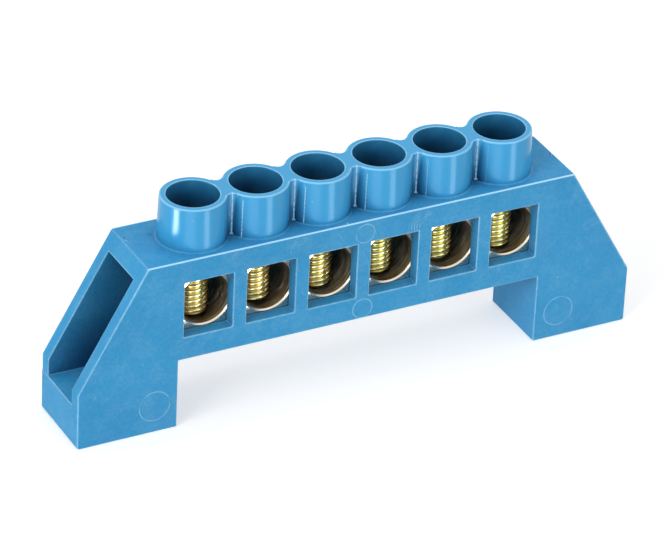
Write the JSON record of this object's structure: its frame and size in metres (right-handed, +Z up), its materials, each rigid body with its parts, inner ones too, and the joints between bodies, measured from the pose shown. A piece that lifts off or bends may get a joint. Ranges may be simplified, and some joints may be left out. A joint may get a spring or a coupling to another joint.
{
  "type": "earth terminal bar",
  "caption": "Moulded bridge housing on two feet holding a cross-drilled bar, with clamp screws in towers along the deck and wire windows along the front.",
  "frame": {"origin": "centre of the mounting surface, under the middle of the bridge", "axes": "+X along the row of terminals, +Y from the wire side to the closed side, +Z up from the mounting surface"},
  "size_m": [0.0864, 0.012, 0.033],
  "materials": {
    "blue_moulding": "glossy injection-moulded light blue",
    "bar_metal": "pale brass, milled faces, drilled bores",
    "screw_metal": "yellow zinc-passivated steel with an iridescent film"
  },
  "bodies": {
    "base": {"housing": "blue_moulding", "terminal_bar": "bar_metal"},
    "screw_1": {"clamp_screw_1": "screw_metal"},
    "screw_2": {"clamp_screw_2": "screw_metal"},
    "screw_3": {"clamp_screw_3": "screw_metal"},
    "screw_4": {"clamp_screw_4": "screw_metal"},
    "screw_5": {"clamp_screw_5": "screw_metal"},
    "screw_6": {"clamp_screw_6": "screw_metal"}
  },
  "joints": [
    {"name": "screw_1_travel", "type": "slide", "parent": "base", "child": "screw_1", "axis": [0, 0, 1], "range_m": [-0.00035, 0.00755]},
    {"name": "screw_2_travel", "type": "slide", "parent": "base", "child": "screw_2", "axis": [0, 0, 1], "range_m": [-0.00035, 0.00755]},
    {"name": "screw_3_travel", "type": "slide", "parent": "base", "child": "screw_3", "axis": [0, 0, 1], "range_m": [-0.0003, 0.0076]},
    {"name": "screw_4_travel", "type": "slide", "parent": "base", "child": "screw_4", "axis": [0, 0, 1], "range_m": [-0.00035, 0.00755]},
    {"name": "screw_5_travel", "type": "slide", "parent": "base", "child": "screw_5", "axis": [0, 0, 1], "range_m": [-0.0004, 0.0075]},
    {"name": "screw_6_travel", "type": "slide", "parent": "base", "child": "screw_6", "axis": [0, 0, 1], "range_m": [-0.0001, 0.0078]}
  ]
}
